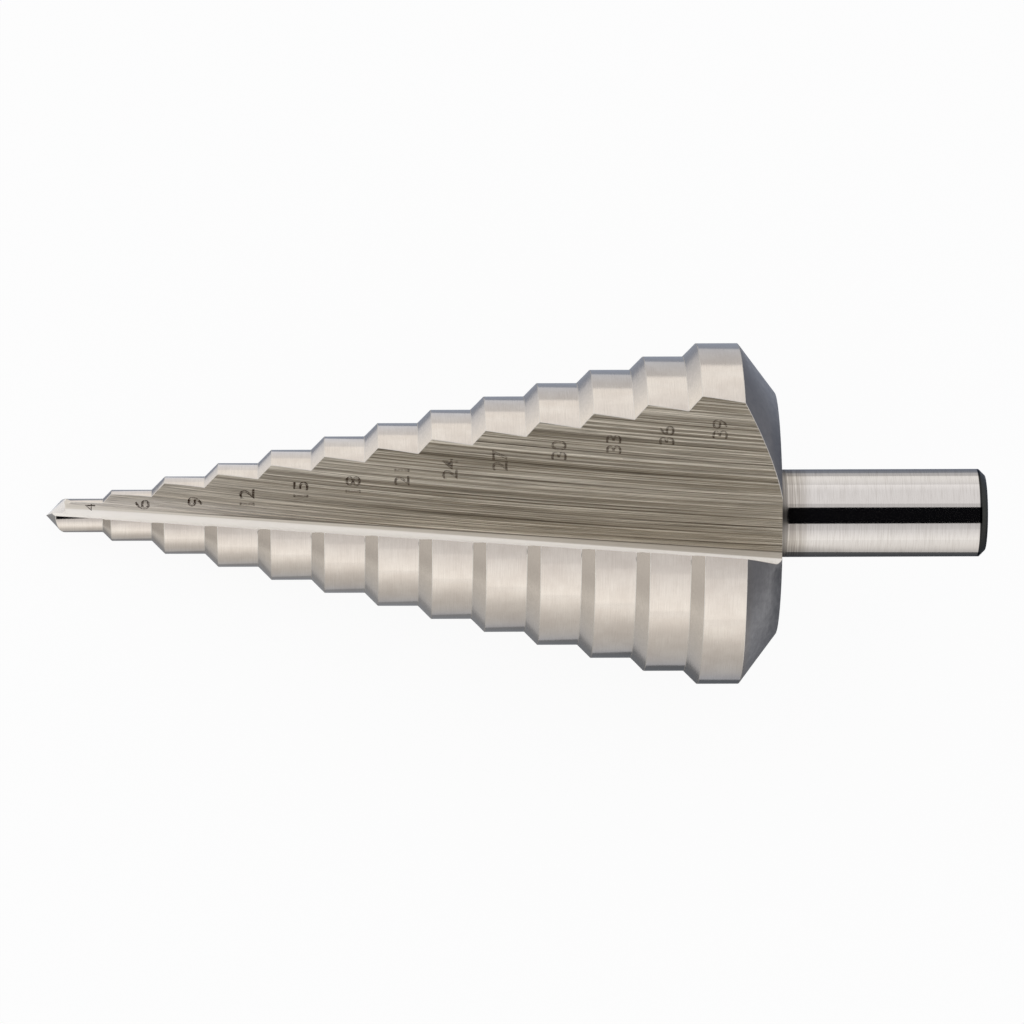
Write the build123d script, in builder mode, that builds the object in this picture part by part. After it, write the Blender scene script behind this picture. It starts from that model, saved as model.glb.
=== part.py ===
from build123d import *
from math import cos, radians, sin, tan
import os

# Step drill, 4 to 39 mm, with two straight tapered flutes and a round shank.
# It is modelled along X, tip first, with one flute up, and then laid down on
# the corners of its other flute, nose low, as it comes to rest on a table.

# Lengths along the drill, from the apexes of the point's two flanks
overall_length = 107
body_length = 83
nose_length = 6.6
step_land = 4.54
step_slope = 45

# Diameters
step_diameters = [4, 6, 9, 12, 15, 18, 21, 24, 27, 30, 33, 36, 39]
shank_diameter = 10
rear_face_diameter = 27.6
back_chamfer_angle = 53

# Edges
shank_chamfer = 0.7
neck_fillet = 0.5

# Land relief: each land is turned about a centre moved towards its own flute
relief_offset = 0.08
relief_direction = 58
relief_lead = 60

# Point: each flank is a cone that leans so that it drops away behind its lip. The two
# apexes stand side by side, so the flanks meet in a short chisel edge just behind them.
flank_half_angle = 42
flank_lean = 16
flank_direction = 112
chisel_offset = 0.2

# Flutes: a floor that climbs to the rear and a rake face that drifts behind centre
half_web = 0.6
floor_lean = 23.5
floor_taper = 9.4
nose_floor_taper = 3.5
floor_bend = 11
floor_bend_radius = 100
rake_lean = 9.6
rake_taper = 4.5
rake_ahead = -0.06
root_radius = 1.2

nose_radius = step_diameters[0] / 2
body_radius = step_diameters[-1] / 2
rear_face_radius = rear_face_diameter / 2
margin = 2

# Outline of the steps, with each cutting edge at its full diameter
edge_gain = relief_offset * cos(radians(relief_lead))
outline = [(-margin, 0), (-margin, nose_radius - edge_gain)]
land_end = nose_length
for diameter, next_diameter in zip(step_diameters, step_diameters[1:]):
    slope_length = (next_diameter - diameter) / 2 / tan(radians(step_slope))
    outline.append((land_end, diameter / 2 - edge_gain))
    outline.append((land_end + slope_length, next_diameter / 2 - edge_gain))
    land_end += slope_length + step_land
outline.append((body_length, body_radius - edge_gain))
outline.append((body_length, 0))

# One land: the half of the body behind one cutting edge, with its point flank
land_centre = (
    0,
    relief_offset * cos(radians(relief_direction)),
    relief_offset * sin(radians(relief_direction)),
)
flank_apex = (0, chisel_offset, 0)
flank_axis_direction = (
    cos(radians(flank_lean)),
    sin(radians(flank_lean)) * cos(radians(flank_direction)),
    sin(radians(flank_lean)) * sin(radians(flank_direction)),
)
flank_plane = Plane(
    origin=flank_apex,
    x_dir=flank_axis_direction,
    z_dir=Vector(flank_axis_direction).cross(Vector(0, 0, 1)),
)
flank_reach = 2 * overall_length

with BuildPart() as land:
    with BuildSketch(Plane(origin=land_centre)):
        with BuildLine():
            Polyline(*outline, close=True)
        make_face()
    revolve(axis=Axis(land_centre, (1, 0, 0)))
    with BuildSketch(flank_plane):
        with BuildLine():
            flank_rim = (flank_reach, flank_reach * tan(radians(flank_half_angle)))
            Polyline((0, 0), (flank_reach, 0), flank_rim, close=True)
        make_face()
    revolve(axis=Axis(flank_apex, flank_axis_direction), mode=Mode.INTERSECT)
    split(bisect_by=Plane.XZ, keep=Keep.TOP)

# Flute cutter: the floor's line drawn from the side, run out across the floor and
# trimmed at the rake face
floor_plane = Plane.XZ.rotated((floor_lean, 0, 0))
rake_normal = Vector(
    tan(radians(rake_taper)),
    cos(radians(rake_lean)),
    sin(radians(rake_lean)),
)
rake_origin = (0, rake_ahead * cos(radians(rake_lean)), rake_ahead * sin(radians(rake_lean)))
flute_reach = body_radius + margin
bend_height = half_web + floor_bend * tan(radians(nose_floor_taper))
nose_height = half_web - margin * tan(radians(nose_floor_taper))
flute_rear = body_length + margin
rear_height = bend_height + (flute_rear - floor_bend) * tan(radians(floor_taper))

with BuildPart() as flute:
    with BuildSketch(floor_plane):
        with BuildLine():
            FilletPolyline(
                (-margin, nose_height), (floor_bend, bend_height), (flute_rear, rear_height),
                radius=floor_bend_radius,
            )
            Polyline(
                (flute_rear, rear_height), (flute_rear, flute_reach),
                (-margin, flute_reach), (-margin, nose_height),
            )
        make_face()
    extrude(amount=flute_reach, both=True)
    split(bisect_by=Plane(origin=rake_origin, z_dir=rake_normal), keep=Keep.TOP)
    rake_face = flute.faces().sort_by(Axis((0, 0, 0), rake_normal))[0]
    root_edges = rake_face.edges().sort_by(Axis((0, 0, 0), floor_plane.y_dir))[:3]
    fillet(root_edges, radius=root_radius)

# The whole drill along X: two lands back to back, the chamfered rear, the shank
# and the two flutes, which run out through the rear face
half_turn = Location((0, 0, 0), (180, 0, 0))
chamfer_rise = body_radius - rear_face_radius + margin
chamfer_run = chamfer_rise / tan(radians(back_chamfer_angle))

with BuildPart() as straight_drill:
    add(land.part)
    with Locations(half_turn):
        add(land.part)
    with BuildSketch():
        with BuildLine():
            Polyline(
                (body_length, rear_face_radius), (body_length, body_radius + margin),
                (body_length - chamfer_run, body_radius + margin), close=True,
            )
        make_face()
    revolve(axis=Axis.X, mode=Mode.SUBTRACT)
    with BuildSketch(Plane.YZ.offset(body_length)):
        Circle(shank_diameter / 2)
    extrude(amount=overall_length - body_length)
    shank_rims = straight_drill.faces().filter_by(GeomType.CYLINDER).sort_by(Axis.X)[-1].edges()
    chamfer(shank_rims.sort_by(Axis.X)[-1], length=shank_chamfer)
    neck = straight_drill.faces().filter_by(GeomType.CYLINDER).sort_by(Axis.X)[-1].edges()
    fillet(neck.filter_by(GeomType.CIRCLE).sort_by(Axis.X)[0], radius=neck_fillet)
    add(flute.part, mode=Mode.SUBTRACT)
    with Locations(half_turn):
        add(flute.part, mode=Mode.SUBTRACT)

# Rest: the floor touches both flute corners at the front of the largest step and
# the first corner of the nose that comes down to it
corners = straight_drill.vertices()
step_front = land_end - step_land
rear_corners = corners.filter_by_position(Axis.X, step_front - step_land / 2, step_front + step_land / 2)
heel_corner, edge_corner = rear_corners.sort_by(Axis.Z)[:2].sort_by(Axis.Y)
nose_corner = corners.filter_by_position(Axis.X, -margin, nose_length).sort_by(
    lambda corner: (corner.Z - edge_corner.Z) / (edge_corner.X - corner.X)
)[0]
to_heel = Vector(heel_corner) - Vector(edge_corner)
to_nose = Vector(nose_corner) - Vector(edge_corner)
floor = Plane(origin=edge_corner, x_dir=(1, 0, 0), z_dir=to_nose.cross(to_heel))
laid_centre = floor.to_local_coords(straight_drill.part).bounding_box().center()
table = Plane(
    origin=floor.from_local_coords(Vector(laid_centre.X, laid_centre.Y, 0)),
    x_dir=floor.x_dir,
    z_dir=floor.z_dir,
)

with BuildPart() as step_drill:
    add(table.to_local_coords(straight_drill.part))

os.makedirs("parts", exist_ok=True)
step_drill.part.label = "step_drill"
export_step(step_drill.part, "parts/step_drill.step")
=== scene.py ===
from math import cos, radians, sin, tan

import bmesh
import bpy
from mathutils import Matrix, Vector
from mathutils.bvhtree import BVHTree


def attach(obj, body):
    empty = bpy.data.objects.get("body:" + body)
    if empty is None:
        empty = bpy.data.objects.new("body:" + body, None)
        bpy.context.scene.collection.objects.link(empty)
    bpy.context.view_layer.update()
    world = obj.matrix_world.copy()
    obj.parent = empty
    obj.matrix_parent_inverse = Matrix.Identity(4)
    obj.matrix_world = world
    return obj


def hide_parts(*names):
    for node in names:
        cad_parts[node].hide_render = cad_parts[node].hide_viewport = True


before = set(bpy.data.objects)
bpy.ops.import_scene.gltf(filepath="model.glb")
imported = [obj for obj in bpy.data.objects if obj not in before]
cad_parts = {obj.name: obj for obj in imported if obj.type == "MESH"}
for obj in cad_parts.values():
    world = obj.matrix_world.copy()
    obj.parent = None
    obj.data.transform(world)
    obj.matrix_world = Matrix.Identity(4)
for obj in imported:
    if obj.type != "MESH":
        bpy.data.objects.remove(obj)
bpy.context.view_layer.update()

# The drill's shape. It is ground from one bar of high speed steel: the stepped lands are
# turned and ground round, the two flutes are ground lengthwise, and the shank is polished.
# It lies nose down, rolled a little onto the corners of its lower flute.
mm = 0.001
body_length = 83 * mm
drill_length = 107 * mm
tip_length = 2.2 * mm
flute_lean = radians(23.5)
rake_lean = radians(9.6)
broken_edge = 0.045 * mm
bluntest_corner = radians(18)
weld_distance = 0.004 * mm
flat_angle = radians(0.2)
tip_place = Matrix.Translation((-0.052881, 0, 0.001639))
nose_down = Matrix.Rotation(radians(-11.787), 4, "Y")
rolled = Matrix.Rotation(radians(1.4109), 4, "X")
drill_place = tip_place @ nose_down @ rolled
along_drill = drill_place.to_3x3()
to_drill = drill_place.inverted()

surfaces = [
    "turned land",
    "step slope",
    "flute floor",
    "flute root",
    "rake face",
    "rear chamfer",
    "polished shank",
    "shank end",
    "point flank",
    "broken edge",
]
floor_line = Vector((0, -sin(flute_lean), cos(flute_lean)))
rake_line = Vector((0, cos(rake_lean), sin(rake_lean)))
in_line = 0.9997
floor_tilts = (-0.2, -0.02)
rake_tilts = (0.02, 0.1)
faces_nose = -0.3
faces_rear = 0.5
faces_side = 0.1
faces_outwards = 0.6
shank_start = body_length + 0.01 * mm
nose_radius = 2.05 * mm
third_land_end = 18.18 * mm
third_land_radius = 4.5 * mm
rise_per_length = 0.2483
under_lands = 0.25 * mm


def ground_surface(face):
    """Says which of the drill's ground surfaces a face belongs to."""
    place = to_drill @ face.calc_center_median()
    way = along_drill.transposed() @ face.normal
    off_axis = Vector((0, place.y, place.z))
    across_way = Vector((0, way.y, way.z)).normalized()
    if place.x > shank_start:
        return "polished shank" if way.x < faces_side else "shank end"
    if way.x > faces_rear:
        return "rear chamfer"
    if abs(across_way.dot(floor_line)) > in_line and floor_tilts[0] < way.x < floor_tilts[1]:
        return "flute floor"
    if abs(across_way.dot(rake_line)) > in_line and rake_tilts[0] < way.x < rake_tilts[1]:
        return "rake face"
    if place.x < tip_length and way.x < faces_nose:
        return "point flank"
    lands_at = max(nose_radius, third_land_radius + (place.x - third_land_end) * rise_per_length)
    inside = off_axis.length < lands_at - under_lands
    if inside or way.dot(off_axis.normalized()) < faces_outwards:
        return "flute root"
    return "step slope" if way.x < faces_nose else "turned land"


def takes_the_stone(edge):
    """Whether an edge is a sharp corner between two surfaces, clear of the tip and the rear."""
    places = [(to_drill @ end.co).x for end in edge.verts]
    return (
        len(edge.link_faces) == 2
        and edge.link_faces[0].material_index != edge.link_faces[1].material_index
        and edge.calc_face_angle() > bluntest_corner
        and max(places) > tip_length / 4
        and min(places) < body_length - broken_edge
    )


body = bmesh.new()
body.from_mesh(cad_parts["step_drill"].data)
bmesh.ops.remove_doubles(body, verts=body.verts, dist=weld_distance)
bmesh.ops.dissolve_limit(body, angle_limit=flat_angle, verts=body.verts, edges=body.edges)
for face in body.faces:
    face.material_index = surfaces.index(ground_surface(face))
broken = bmesh.ops.bevel(
    body,
    geom=[edge for edge in body.edges if takes_the_stone(edge)],
    offset=broken_edge,
    affect="EDGES",
    segments=1,
    profile=0.5,
    material=-1,
    clamp_overlap=False,
)
for face in broken["faces"]:
    face.material_index = surfaces.index("broken edge")
for face in body.faces:
    face.smooth = True
for edge in body.edges:
    joined = {face.material_index for face in edge.link_faces}
    edge.smooth = len(joined) == 1
bmesh.ops.triangulate(body, faces=[face for face in body.faces if len(face.verts) > 4])
drill_mesh = bpy.data.meshes.new("ground_drill")
body.to_mesh(drill_mesh)
floor_finder = BVHTree.FromBMesh(body)
body.free()
drill = bpy.data.objects.new("ground_drill", drill_mesh)
bpy.context.scene.collection.objects.link(drill)

# Turned lands: the round faces that size the hole, bright warm steel with fine lines round
# the drill from the grinding wheel, a few deeper lines, faint stains and small specks.


class Wire:
    """A socket in a material. Sums written on wires become Math nodes."""

    def __init__(self, socket):
        self.socket = socket
        self.tree = socket.id_data

    @staticmethod
    def node(tree, kind, settings, inputs, output=0):
        """Adds a node, sets it, then gives its sockets their values or wires."""
        node = tree.nodes.new(kind)
        for name, value in settings.items():
            if name == "stops":
                stops = node.color_ramp.elements
                while len(stops) < len(value):
                    stops.new(0.5)
                for stop, (position, colour) in zip(stops, value):
                    stop.position = position
                    stop.color = (*colour, 1)
            else:
                setattr(node, name, value)
        for name, value in inputs.items():
            if isinstance(value, Wire):
                tree.links.new(value.socket, node.inputs[name])
            else:
                node.inputs[name].default_value = value
        return Wire(node.outputs[output])

    def beside(self, output):
        """Another output of the same node."""
        return Wire(self.socket.node.outputs[output])

    def maths(self, operation, *others):
        """One Math node on this wire and the others."""
        inputs = dict(enumerate((self, *others)))
        return Wire.node(self.tree, "ShaderNodeMath", {"operation": operation}, inputs)

    def __add__(self, other):
        return self.maths("ADD", other)

    __radd__ = __add__

    def __sub__(self, other):
        return self.maths("SUBTRACT", other)

    def __rsub__(self, other):
        return self * -1.0 + other

    def __mul__(self, other):
        return self.maths("MULTIPLY", other)

    __rmul__ = __mul__

    def __truediv__(self, other):
        return self.maths("DIVIDE", other)

    def between(self, low, high):
        """0 below low, 1 above high and smooth between."""
        inputs = {"Value": self, "From Min": low, "From Max": high}
        settings = {"interpolation_type": "SMOOTHSTEP"}
        return Wire.node(self.tree, "ShaderNodeMapRange", settings, inputs)


def apart(places):
    """The x, y and z of places."""
    x = Wire.node(places.tree, "ShaderNodeSeparateXYZ", {}, {"Vector": places}, output="X")
    return x, x.beside("Y"), x.beside("Z")


def grain(places, scale, detail=3.0, rough=0.6):
    """Noise from 0 to 1, with a scale per millimetre along each axis."""
    stretched = Wire.node(
        places.tree, "ShaderNodeVectorMath", {"operation": "MULTIPLY"}, {0: places, 1: scale}
    )
    inputs = {"Vector": stretched, "Scale": 1.0, "Detail": detail, "Roughness": rough}
    return Wire.node(places.tree, "ShaderNodeTexNoise", {}, inputs)


def blend(amount, first, second):
    """Goes from the first colour to the second as amount goes from 0 to 1."""
    settings = {"data_type": "RGBA"}
    inputs = {0: amount, 6: first, 7: second}
    return Wire.node(amount.tree, "ShaderNodeMix", settings, inputs, output=2)


def new_steel(name, edge_colour, mesh=drill_mesh):
    """A bare metal on a mesh: its shader, and places on the drill in millimetres.

    Places are x from the tip, and y and z across the drill.
    """
    steel = bpy.data.materials.new(name)
    steel.use_nodes = True
    tree = steel.node_tree
    shader = tree.nodes["Principled BSDF"]
    shader.inputs["Metallic"].default_value = 1
    shader.inputs["Specular Tint"].default_value = edge_colour
    mesh.materials.append(steel)
    inputs = {
        "Vector": Wire.node(tree, "ShaderNodeTexCoord", {}, {}, output="Object"),
        "Location": drill_place.translation,
        "Rotation": drill_place.to_euler(),
        "Scale": (mm, mm, mm),
    }
    places = Wire.node(tree, "ShaderNodeMapping", {"vector_type": "TEXTURE"}, inputs)
    return shader, places


def finish_steel(shader, colour, roughness, height, depth):
    """Wires a steel's colour and roughness, and its tool marks, so many millimetres deep."""
    inputs = {"Height": height, "Distance": depth * mm, "Strength": 1.0}
    normal = Wire.node(colour.tree, "ShaderNodeBump", {}, inputs)
    for name, wire in (("Base Color", colour), ("Roughness", roughness), ("Normal", normal)):
        colour.tree.links.new(wire.socket, shader.inputs[name])


blue_rim = (0.85, 0.9, 1, 1)
stained_steel = (0.76, 0.685, 0.61, 1)
bright_steel = (0.84, 0.77, 0.69, 1)
line_grey = (0.58, 0.515, 0.45, 1)
speck_brown = (0.3, 0.26, 0.22, 1)

shader, places = new_steel("turned_land", blue_rim)
fine_rings = grain(places, (22, 0.4, 0.4))
deep_rings = grain(places, (6, 0.2, 0.2), detail=4).between(0.6, 0.72)
stains = grain(places, (0.35, 0.3, 0.3), detail=4)
specks = grain(places, (5, 5, 5), detail=2).between(0.74, 0.8)
clean = blend(stains.between(0.3, 0.7), stained_steel, bright_steel)
ringed = blend(fine_rings.between(0.3, 0.7) * 0.3 + deep_rings * 0.2, clean, line_grey)
colour = blend(specks * 0.35, ringed, speck_brown)
finish_steel(shader, colour, 0.06 + 0.06 * fine_rings, fine_rings - deep_rings * 0.5, 0.006)

# Step slopes: the 45 degree faces that cut, ground coarser than the lands and duller. Each
# carries painted shade just behind its cutting edge and a painted highlight over the rest,
# which fades out towards its heel.
painted_shade_turn = radians(120)
dull_steel = (0.61, 0.55, 0.475, 1)
ground_steel = (0.77, 0.69, 0.605, 1)
ring_grey = (0.5, 0.44, 0.38, 1)
painted_highlight_steel = (0.95, 0.87, 0.77, 1)
painted_shade_grey = (0.3, 0.265, 0.23, 1)

shader, places = new_steel("step_slope", blue_rim)
x, y, z = apart(places)
rings = grain(places, (16, 0.4, 0.4))
mottle = grain(places, (3.2, 1.6, 1.6), detail=5, rough=0.75)
mottled = blend(mottle.between(0.3, 0.7), dull_steel, ground_steel)
ringed = blend(rings * 0.6, mottled, ring_grey)
off_axis = (y * y + z * z).maths("SQRT")
# Painted shade and highlight by the turn round the drill: darkest just behind the cutting edge,
# pale over the rest.
near_painted_shade = (y * cos(painted_shade_turn) + z * sin(painted_shade_turn)).maths("ABSOLUTE") / off_axis
with_painted_highlight = blend(near_painted_shade.between(0.05, 0.4) * 0.45, ringed, painted_highlight_steel)
colour = blend(near_painted_shade.between(0.93, 0.995) * 0.62, with_painted_highlight, painted_shade_grey)
finish_steel(shader, colour, 0.13 + 0.12 * mottle, rings + mottle * 0.5, 0.008)

# Flute floor: ground lengthwise with a coarse wheel, which leaves long light and dark
# scratches in shallow arcs, steeper at the nose. The oil leaves them faintly olive. The
# front half of the floor is paler, most of all at the tip, where the paleness is a painted
# reflection, and beside the root.
root_slant = 0.0401
scratch_slant = 0.1
scratch_bend = 0.00042
scratch_fan = 0.0028
flutes_apart = 40
floor_rim = (0.7, 0.68, 0.62, 1)
dark_olive = (0.36, 0.31, 0.235, 1)
light_olive = (0.5, 0.445, 0.36, 1)
light_scratch = (1, 0.92, 0.78, 1)
fine_scratch = (0.22, 0.185, 0.135, 1)
dark_scratch = (0.1, 0.082, 0.058, 1)
pale_floor = (0.93, 0.87, 0.8, 1)


def along_and_across(places):
    """Millimetres along the drill and across a flute's floor, and which flute it is."""
    along, y, z = apart(places)
    side = (z * cos(flute_lean) - y * sin(flute_lean)).maths("SIGN")
    return along, (y * cos(flute_lean) + z * sin(flute_lean)) * side, side


def laid_flat(along, across, side):
    """Places on the floors laid flat, far enough apart for two different patterns."""
    inputs = {"X": along, "Y": across, "Z": side * flutes_apart}
    return Wire.node(along.tree, "ShaderNodeCombineXYZ", {}, inputs)


def scratched_floor(places):
    """The colour, roughness and height of the scratched floor."""
    along, across, side = along_and_across(places)
    arcs = across * (1 + scratch_fan * along) + along * (scratch_slant - scratch_bend * along)
    flat = laid_flat(along, arcs, side)
    scratches = grain(flat, (0.012, 3.6, 1), detail=4, rough=0.72)
    fine = grain(flat, (0.05, 12, 1), detail=3, rough=0.7)
    bands = grain(flat, (0.006, 0.8, 1), detail=2, rough=0.5)
    light_lines = scratches.between(0.48, 0.62)
    dark_lines = 1 - scratches.between(0.36, 0.48)
    base = blend(bands.between(0.3, 0.7), dark_olive, light_olive)
    lit = blend(light_lines * 0.85, base, light_scratch)
    fined = blend(fine.between(0.4, 0.65) * 0.6, lit, fine_scratch)
    scratched = blend(dark_lines * 0.8, fined, dark_scratch)
    by_root = 1 - (across + root_slant * along).between(1.8, 3.2)
    # Painted reflection: the floor is paler towards the tip.
    painted_reflection_at_tip = 1 - along.between(4, 12)
    front_half = 1 - along.between(0, 46)
    paleness = front_half * (by_root.maths("MAXIMUM", painted_reflection_at_tip) * 0.7 + 0.3)
    colour = blend(paleness * 0.78, scratched, pale_floor)
    return colour, 0.3 + 0.2 * fine, scratches + fine * 0.4


shader, places = new_steel("flute_floor", floor_rim)
colour, roughness, height = scratched_floor(places)
finish_steel(shader, colour, roughness, height, 0.12)

# Flute root: the rounded corner between the floor and the rake face, left by the dressed
# corner of the wheel. It is satin and palest beside the rake face, and a painted shadow
# line parts it from the floor.
satin_rim = (0.9, 0.88, 0.84, 1)
satin_white = (1, 0.955, 0.885, 1)
front_grey = (0.82, 0.76, 0.67, 1)
rear_grey = (0.52, 0.47, 0.4, 1)
root_scratch = (0.4, 0.36, 0.3, 1)
painted_shadow_line = (0.15, 0.13, 0.1, 1)


def new_satin_steel(name):
    """Steel that a fine wheel leaves satin: it scatters light and hardly mirrors."""
    shader, places = new_steel(name, satin_rim)
    shader.inputs["Metallic"].default_value = 0.12
    shader.inputs["Specular IOR Level"].default_value = 0.25
    return shader, places


shader, places = new_satin_steel("flute_root")
along, across, side = along_and_across(places)
from_corner = across + root_slant * along + 0.2
lines = grain(laid_flat(along, from_corner, side), (0.03, 7, 1), detail=4)
grey_band = (from_corner + 0.006 * along).between(1.19, 1.36)
grey = blend(along.between(10, 85), front_grey, rear_grey)
satin = blend(grey_band, satin_white, grey)
lined = blend(lines.between(0.35, 0.7) * grey_band * 0.3, satin, root_scratch)
# Painted shadow: a dark line on the root's floor side, fading in from 4 to 25 mm behind the tip.
shadowed_floor_side = from_corner.between(1.36, 1.46) * along.between(4, 25)
colour = blend(shadowed_floor_side * 0.85, lined, painted_shadow_line)
finish_steel(shader, colour, 0.5 + 0.1 * lines, lines, 0.02)

# Rake face: the flat face in front of each land that carries its cutting edge. It is
# ground last with a fine wheel, which leaves it pale and satin with faint lines along it.
rake_pale = (1, 0.95, 0.88, 1)
rake_line_grey = (0.8, 0.74, 0.66, 1)

shader, places = new_satin_steel("rake_face")
lines = grain(places, (0.05, 4, 4), detail=4)
colour = blend(lines.between(0.4, 0.8), rake_pale, rake_line_grey)
finish_steel(shader, colour, 0.45 + 0.1 * lines, lines, 0.01)

# Rear chamfer and rear face: the cone and the flat behind the largest step, left as
# turned and ringed, and coloured darker and a little blue. The cone's front rim is brown,
# and behind the cutting edges, where the cone faces up and down, it carries painted shade.
dark_blue = (0.33, 0.325, 0.335, 1)
light_blue = (0.46, 0.455, 0.465, 1)
turned_ring = (0.27, 0.26, 0.265, 1)
rim_brown = (0.33, 0.29, 0.25, 1)
chamfer_shade_black = (0.12, 0.115, 0.12, 1)

shader, places = new_steel("rear_chamfer", blue_rim)
along, y, z = apart(places)
rings = grain(places, (9, 0.3, 0.3), detail=4)
mottle = grain(places, (1.2, 1.2, 1.2), detail=5, rough=0.7)
mottled = blend(mottle.between(0.3, 0.7), dark_blue, light_blue)
ringed = blend(rings * 0.4, mottled, turned_ring)
front_rim = 1 - along.between(78.6, 79.8)
browned = blend(front_rim * 0.5, ringed, rim_brown)
# Painted shade on the top and bottom of the cone, behind the cutting edges.
painted_shade_by_edges = z.maths("ABSOLUTE").between(8.5, 15)
colour = blend(painted_shade_by_edges * 0.7, browned, chamfer_shade_black)
finish_steel(shader, colour, 0.34 + 0.15 * mottle, rings + mottle * 0.3, 0.02)

# Shank: polished round, with hairlines and scuffs round it. The neck is warmer, with a few
# turned rings and a band of painted shade, and the shank's last millimetre carries painted
# shade that stands in for a longer end chamfer.
shank_rim = (0.5, 0.53, 0.6, 1)
polished = (0.75, 0.71, 0.67, 1)
hairline_grey = (0.52, 0.48, 0.44, 1)
neck_brown = (0.5, 0.44, 0.36, 1)
neck_ring = (0.3, 0.265, 0.23, 1)
neck_shade_black = (0.1, 0.09, 0.08, 1)
end_shade_black = (0.03, 0.03, 0.028, 1)

shader, places = new_steel("polished_shank", shank_rim)
along, y, z = apart(places)
hairlines = grain(places, (9, 0.4, 0.4), detail=3)
scuffs = grain(places, (1.5, 0.7, 0.7), detail=5).between(0.55, 0.8)
# Painted shade in a band at the neck, which is also made rougher.
painted_neck_shade = 1 - along.between(84.0, 84.4)
neck = 1 - along.between(84.9, 87.2)
# Painted shade on the last millimetre, standing in for a longer end chamfer.
painted_end_shade = along.between(106.03, 106.08)
neck_rings = grain(places, (6, 0.15, 0.15), detail=2).between(0.35, 0.6) * neck
marks = hairlines.between(0.4, 0.75) * 0.5 + scuffs * 0.2
marked = blend(marks, polished, hairline_grey)
warmed = blend(neck * 0.45, marked, neck_brown)
ringed = blend(neck_rings * 0.6, warmed, neck_ring)
neck_shaded = blend(painted_neck_shade * 0.5, ringed, neck_shade_black)
colour = blend(painted_end_shade, neck_shaded, end_shade_black)
roughness = 0.05 + 0.03 * hairlines + 0.03 * scuffs + 0.25 * painted_neck_shade
finish_steel(shader, colour, roughness, hairlines + neck_rings, 0.004)

# Shank end: the flat face that the bar was parted at and its turned chamfer, both coloured
# near black with faint marks; on the chamfer the near black is painted shade.
end_brown = (0.07, 0.07, 0.06, 1)
end_dark = (0.025, 0.025, 0.022, 1)

shader, places = new_steel("shank_end", blue_rim)
marks = grain(places, (2, 5, 5), detail=3)
colour = blend(marks, end_dark, end_brown)
finish_steel(shader, colour, 0.35 + 0.1 * marks, marks, 0.01)

# Point flanks: the two leaning cones behind the lips of the point, ground plain and
# smooth, with faint lines down them.
flank_grey = (0.68, 0.65, 0.62, 1)
flank_bright = (0.86, 0.82, 0.78, 1)

shader, places = new_steel("point_flank", blue_rim)
lines = grain(places, (10, 10, 3), detail=3)
colour = blend(lines, flank_grey, flank_bright)
finish_steel(shader, colour, 0.16 + 0.12 * lines, lines, 0.01)

# Broken edges: every corner between two surfaces is rubbed with a fine stone, which leaves
# a thin bright strip with small nicks.
strip_rim = (0.7, 0.7, 0.72, 1)
nick_grey = (0.55, 0.5, 0.44, 1)
rubbed_bright = (0.88, 0.84, 0.78, 1)

shader, places = new_steel("broken_edge", strip_rim)
nicks = grain(places, (6, 6, 6), detail=3)
colour = blend(nicks, nick_grey, rubbed_bright)
finish_steel(shader, colour, 0.22 + 0.2 * nicks, nicks, 0.01)

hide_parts("step_drill")
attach(drill, "root")

# Step numbers: the hole sizes from 4 to 39, burnt into one flute's floor with an electric
# etcher. They read with the tip up. The burn is brown, weaker on the larger sizes, and
# faint on the strokes that run along the wheel's scratches.
number_height = 1.8 * mm
smallest_height = 1.25 * mm
type_per_height = 1.37
letter_spacing = 0.95
stroke_swell = 0.022 * mm
smallest_swell = -0.018 * mm
joined_points = 0.002 * mm
longest_edge = 0.12 * mm
splits = 3
stroke_reach = 0.2 * mm
number_sunk = 0.005 * mm
number_thickness = 0.01 * mm
outside_drill = 50 * mm
above_floor = 3 * mm
step_numbers = [
    (4, 5.25, 0.95),
    (6, 11.2, 1.2),
    (9, 17.2, 1.5),
    (12, 23.1, 1.8),
    (15, 29.2, 2.7),
    (18, 35.1, 3.2),
    (21, 40.6, 4.4),
    (24, 46.0, 5.1),
    (27, 51.6, 6.0),
    (30, 58.2, 7.1),
    (33, 64.3, 7.8),
    (36, 70.2, 8.7),
    (39, 76.1, 9.4),
]
view_turn = radians(76.7)
to_camera_way = along_drill @ Vector((0, -cos(view_turn), sin(view_turn)))
up_in_view = along_drill @ Vector((0, sin(view_turn), cos(view_turn)))
right_in_view = along_drill @ Vector((1, 0, 0))


def stroke_beside(figure, middle, step):
    """How many of the points a step before and after the middle are on the figure too."""
    above = middle + Vector((0, 0, 1 * mm))
    down = Vector((0, 0, -1))
    return sum(figure.ray_cast(above + way, down)[0] is not None for way in (-step, step))


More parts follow.
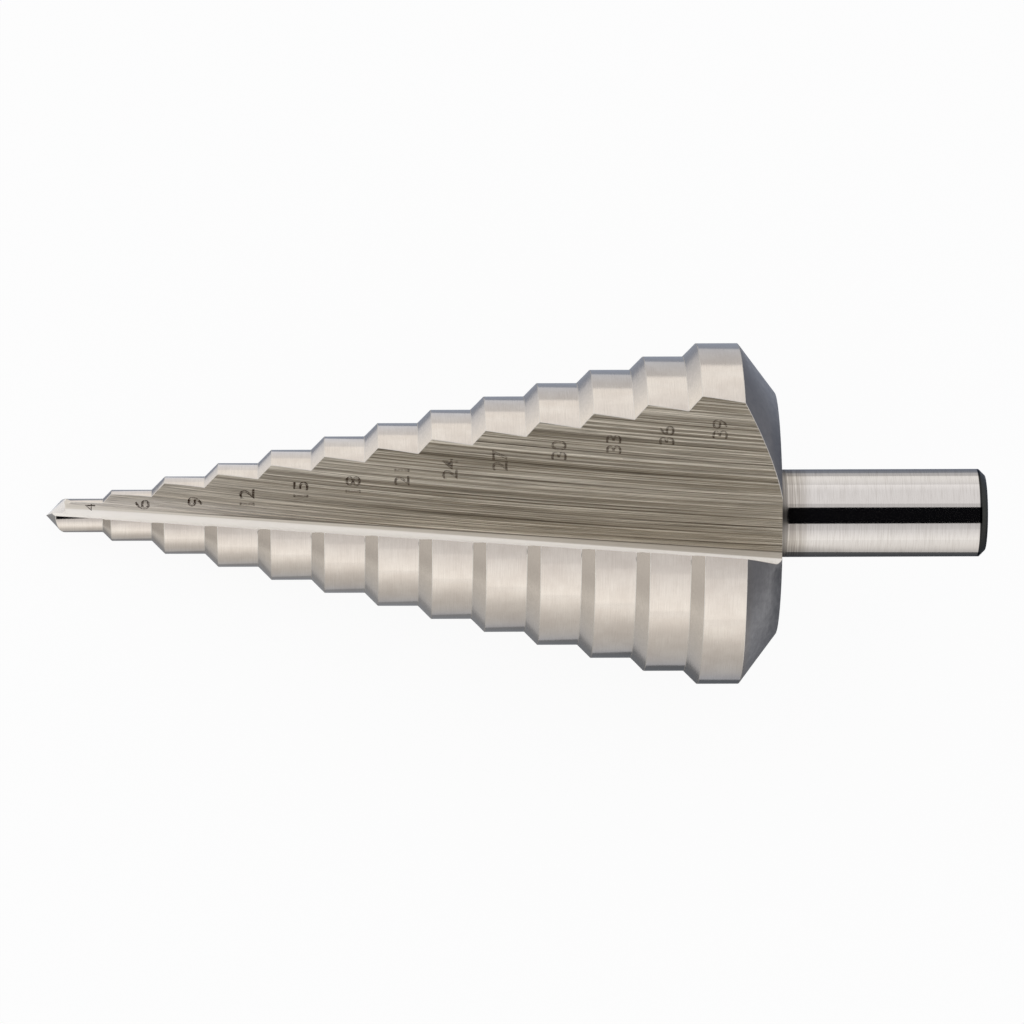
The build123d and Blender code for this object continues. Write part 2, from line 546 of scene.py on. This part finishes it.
numbers = bmesh.new()
for number, along, up in step_numbers:
    smallest = number == 4
    text = bpy.data.curves.new("step_number", "FONT")
    text.body = str(number)
    text.align_x = "CENTER"
    text.align_y = "CENTER"
    text.size = (smallest_height if smallest else number_height) * type_per_height
    text.space_character = letter_spacing
    text.offset = smallest_swell if smallest else stroke_swell
    text.resolution_u = 3
    stamp = bpy.data.objects.new("step_number", text)
    stroke = bmesh.new()
    stroke.from_mesh(bpy.data.meshes.new_from_object(stamp))
    bpy.data.objects.remove(stamp)
    bmesh.ops.remove_doubles(stroke, verts=stroke.verts, dist=joined_points)
    figure = BVHTree.FromBMesh(stroke)
    for split in range(splits):
        long_edges = [edge for edge in stroke.edges if edge.calc_length() > longest_edge]
        bmesh.ops.subdivide_edges(stroke, edges=long_edges, cuts=1)
        bmesh.ops.triangulate(stroke, faces=stroke.faces)
    for face in stroke.faces:
        middle = face.calc_center_median()
        sideways = stroke_beside(figure, middle, Vector((stroke_reach, 0, 0)))
        upwards = stroke_beside(figure, middle, Vector((0, stroke_reach, 0)))
        along_scratches = upwards > sideways and not smallest
        face.material_index = 1 if along_scratches else 0
    start = drill_place @ Vector((along * mm, 0, 0)) + up_in_view * up * mm
    outside = start + to_camera_way * outside_drill
    place, normal, _, _ = floor_finder.ray_cast(outside, -to_camera_way)
    top_way = -(right_in_view - normal * right_in_view.dot(normal)).normalized()
    turn = Matrix((top_way.cross(normal), top_way, normal)).transposed()
    laid_down = Matrix.Translation(place) @ turn.to_4x4()
    bmesh.ops.transform(stroke, matrix=laid_down, verts=stroke.verts)
    for point in stroke.verts:
        seat, _, _, _ = floor_finder.ray_cast(point.co + normal * above_floor, -normal)
        point.co = seat - normal * number_sunk
    raised = bmesh.ops.extrude_face_region(stroke, geom=stroke.faces, use_keep_orig=True)
    raised_points = [item for item in raised["geom"] if isinstance(item, bmesh.types.BMVert)]
    bmesh.ops.translate(stroke, vec=normal * number_thickness, verts=raised_points)
    laid = bpy.data.meshes.new("step_number")
    stroke.to_mesh(laid)
    stroke.free()
    numbers.from_mesh(laid)
bmesh.ops.recalc_face_normals(numbers, faces=numbers.faces)
number_mesh = bpy.data.meshes.new("step_numbers")
numbers.to_mesh(number_mesh)
numbers.free()
number_piece = bpy.data.objects.new("step_numbers", number_mesh)
bpy.context.scene.collection.objects.link(number_piece)

burn_brown = (0.05, 0.03, 0.02, 1)
for name, least, most in (("burnt_number", 0.5, 1.0), ("faint_number", 0.0, 0.35)):
    shader, places = new_steel(name, floor_rim, number_mesh)
    floor_colour, roughness, height = scratched_floor(places)
    along, y, z = apart(places)
    burn = grain(places, (4, 4, 4), detail=3, rough=0.7)
    weaker = 1 - along.between(24, 48) * 0.25
    burnt = (burn.between(0.4, 0.55) * (most - least) + least) * weaker
    colour = blend(burnt, floor_colour, burn_brown)
    finish_steel(shader, colour, roughness + 0.1, height, 0.1)

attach(number_piece, "root")

# Floor: a wide white sheet of paper that the drill lies on. The camera and the steel's
# reflections see it nearly plain white, with a faint shadow under the drill.
floor_reach = 4
plainness = 0.93

sheet = bmesh.new()
bmesh.ops.create_grid(sheet, x_segments=1, y_segments=1, size=floor_reach)
floor_mesh = bpy.data.meshes.new("white_floor")
sheet.to_mesh(floor_mesh)
sheet.free()
floor = bpy.data.objects.new("white_floor", floor_mesh)
bpy.context.scene.collection.objects.link(floor)
white = bpy.data.materials.new("white_floor")
white.use_nodes = True
tree = white.node_tree
tree.nodes.clear()
paper = Wire.node(tree, "ShaderNodeBsdfDiffuse", {}, {"Color": (0.9, 0.9, 0.9, 1)})
glow = Wire.node(tree, "ShaderNodeEmission", {}, {"Color": (1, 1, 1, 1), "Strength": 1})
to_camera = Wire.node(tree, "ShaderNodeLightPath", {}, {}, output="Is Camera Ray")
seen = to_camera + to_camera.beside("Is Glossy Ray") + to_camera.beside("Is Transmission Ray")
inputs = {0: seen.maths("MINIMUM", 1.0) * plainness, 1: paper, 2: glow}
shown = Wire.node(tree, "ShaderNodeMixShader", {}, inputs)
out = tree.nodes.new("ShaderNodeOutputMaterial")
tree.links.new(shown.socket, out.inputs["Surface"])
floor_mesh.materials.append(white)

# Studio: pale walls near the floor and a darker ceiling, with two soft boxes that run
# along the drill, one above and one below it in the camera's view.
drill_middle = drill_place @ Vector((drill_length / 2, 0, 0))
box_distance = 0.9
box_length = 1.8
walls = [
    (0.0, (1.0, 1.0, 1.0)),
    (0.25, (0.92, 0.92, 0.93)),
    (0.45, (0.8, 0.8, 0.82)),
    (0.7, (0.66, 0.66, 0.68)),
    (1.0, (0.66, 0.66, 0.68)),
]

world = bpy.data.worlds.new("studio")
bpy.context.scene.world = world
world.use_nodes = True
tree = world.node_tree
sky = tree.nodes["Background"]
way = Wire.node(tree, "ShaderNodeTexCoord", {}, {}, output="Generated")
x, y, lift = apart(way)
room = Wire.node(tree, "ShaderNodeValToRGB", {"stops": walls}, {"Fac": lift})
tree.links.new(room.socket, sky.inputs["Color"])
sky.inputs["Strength"].default_value = 1


def soft_box(name, lift, width, power, colour):
    """A soft box turned from the camera's direction towards the top of the view."""
    way = to_camera_way * cos(lift) + up_in_view * sin(lift)
    across = way.cross(right_in_view).normalized()
    turn = Matrix((right_in_view, across, way)).transposed()
    lamp = bpy.data.lights.new(name, "AREA")
    lamp.shape = "RECTANGLE"
    lamp.size = box_length
    lamp.size_y = width
    lamp.energy = power
    lamp.color = colour
    box = bpy.data.objects.new(name, lamp)
    box.matrix_world = Matrix.Translation(drill_middle + way * box_distance) @ turn.to_4x4()
    bpy.context.scene.collection.objects.link(box)


soft_box("upper_soft_box", radians(52), width=0.95, power=1.25, colour=(0.97, 0.98, 1.0))
soft_box("lower_soft_box", radians(-60), width=0.5, power=0.2, colour=(1.0, 0.98, 0.95))

# Cards: a black one round the camera, which polished steel shows as its dark band, and a
# grey one on the floor with a dark middle, a painted shadow of the drill, which draws the
# drill's outline. They are for the steel alone, so neither the camera nor the floor sees them.
black_distance = 1.0
black_top = tan(radians(14.5))
black_foot = -tan(radians(28))
black_left = -tan(radians(38))
black_right = tan(radians(30))
black_paint = (0.003, 0.003, 0.004, 1)
shadow_card_reach = 0.3
shadow_card_height = 0.05 * mm
nose_place = 52.8
cast_near = (0.87, 0.87, 0.88, 1)
cast_far = (0.62, 0.62, 0.63, 1)
cast_core = (0.34, 0.36, 0.4, 1)
open_white = (0.97, 0.96, 0.95, 1)
dark_near = (0.3, 0.3, 0.3, 1)
dark_far = (0.12, 0.125, 0.13, 1)
painted_shadow_levels = [
    (0.2, (0.42, 0.42, 0.43)),
    (0.333, (0.5, 0.5, 0.5)),
    (0.6, (0.57, 0.56, 0.55)),
    (0.75, (0.69, 0.68, 0.67)),
    (0.9, (0.92, 0.91, 0.9)),
    (1.0, (1, 1, 1)),
]


def card(name, place, colour_at):
    """A card that only polished metal sees: a square 2 m wide, sized and put in place."""
    sheet = bmesh.new()
    bmesh.ops.create_grid(sheet, x_segments=1, y_segments=1, size=1, matrix=place)
    card_mesh = bpy.data.meshes.new(name)
    sheet.to_mesh(card_mesh)
    sheet.free()
    piece = bpy.data.objects.new(name, card_mesh)
    bpy.context.scene.collection.objects.link(piece)
    paper = bpy.data.materials.new(name)
    paper.use_nodes = True
    tree = paper.node_tree
    tree.nodes.clear()
    glow = Wire.node(tree, "ShaderNodeEmission", {}, {"Color": colour_at(tree), "Strength": 1})
    out = tree.nodes.new("ShaderNodeOutputMaterial")
    tree.links.new(glow.socket, out.inputs["Surface"])
    card_mesh.materials.append(paper)
    piece.visible_camera = False
    piece.visible_diffuse = False
    piece.visible_shadow = False


def grey_card_colour(tree):
    """A painted shadow of the drill: dark near it, in wedges like its outline, then grey, then
    white.
    """
    places = Wire.node(tree, "ShaderNodeTexCoord", {}, {}, output="Object")
    x, y, z = apart(places)
    from_nose = (x * 1000 + nose_place).maths("MAXIMUM", 0.0)
    behind = y * 1000
    in_front = y * -1000

    # Painted shadow behind the drill: a dark core, then grey, then white.
    core_reach = (0.55 * from_nose.maths("MINIMUM", 105.0) + 1.1).maths("MAXIMUM", 8.5)
    past_core = (behind - core_reach).between(-0.3, 0.3)
    past_cast = (behind - 1.45 * from_nose).between(6, 12)
    cast = blend(from_nose.between(10, 80), cast_near, cast_far)
    cast_and_white = blend(past_cast, cast, open_white)
    core_and_cast = blend(past_core, cast_core, cast_and_white)
    at_nose = (1 - from_nose.between(0.2, 1.5)) * behind.between(0, 2)
    all_behind = blend(at_nose, core_and_cast, (1, 1, 1, 1))

    # Painted shadow in front of the drill: dark near it, then greys out to white.
    past_body = from_nose.between(82, 98)
    radius = (1.6 + 0.226 * from_nose) * (1 - past_body) + 7 * past_body
    outwards = 1 - radius / in_front.maths("MAXIMUM", 1.0)
    greys = Wire.node(tree, "ShaderNodeValToRGB", {"stops": painted_shadow_levels}, {"Fac": outwards})
    dark = blend(from_nose.between(30, 85), dark_near, dark_far)
    past_dark = (in_front - 0.285 * from_nose.maths("MINIMUM", 72.0)).between(2.3, 2.9)
    all_in_front = blend(past_dark, dark, greys)
    return blend(behind.between(-0.5, 0.5), all_in_front, all_behind)


black_across = right_in_view * (black_right - black_left) / 2
black_up = up_in_view * (black_top - black_foot) / 2
black_middle = (
    to_camera_way
    + right_in_view * (black_left + black_right) / 2
    + up_in_view * (black_foot + black_top) / 2
)
black_turn = Matrix((black_across, black_up, to_camera_way)).transposed() * black_distance
black_place = Matrix.Translation(drill_middle + black_middle * black_distance)
card("black_card", black_place @ black_turn.to_4x4(), lambda tree: black_paint)

# The floor card that carries the drill's painted shadow.
shadow_card_place = Matrix.Translation((0, 0, shadow_card_height))
shadow_card_size = Matrix.Diagonal((shadow_card_reach, shadow_card_reach, 1, 1))
card("painted_shadow_card", shadow_card_place @ shadow_card_size, grey_card_colour)

# Camera: a long lens 720 mm away. It stands square to the drill's axis near the nose, is
# aimed at the drill's middle and is rolled by a hair.
lens_distance = 720 * mm
square_to = 32.4 * mm
aimed_at = 53.1 * mm
raised_by = 0.24 * mm
roll = radians(-0.18)

camera_data = bpy.data.cameras.new("camera")
camera = bpy.data.objects.new("camera", camera_data)
bpy.context.scene.collection.objects.link(camera)
camera_data.sensor_width = 36
camera_data.lens = 222.4
camera_data.clip_start = 0.05
camera_data.clip_end = 50
stand = drill_place @ Vector((square_to, 0, 0)) + up_in_view * raised_by
aim = drill_place @ Vector((aimed_at, 0, 0)) + up_in_view * raised_by
eye = stand + to_camera_way * lens_distance
back = (eye - aim).normalized()
side = up_in_view.cross(back).normalized()
rise = back.cross(side)
turn = Matrix((side, rise, back)).transposed() @ Matrix.Rotation(roll, 3, "Z")
camera.matrix_world = Matrix.Translation(eye) @ turn.to_4x4()
bpy.context.scene.camera = camera
bpy.context.scene.view_settings.view_transform = "Standard"
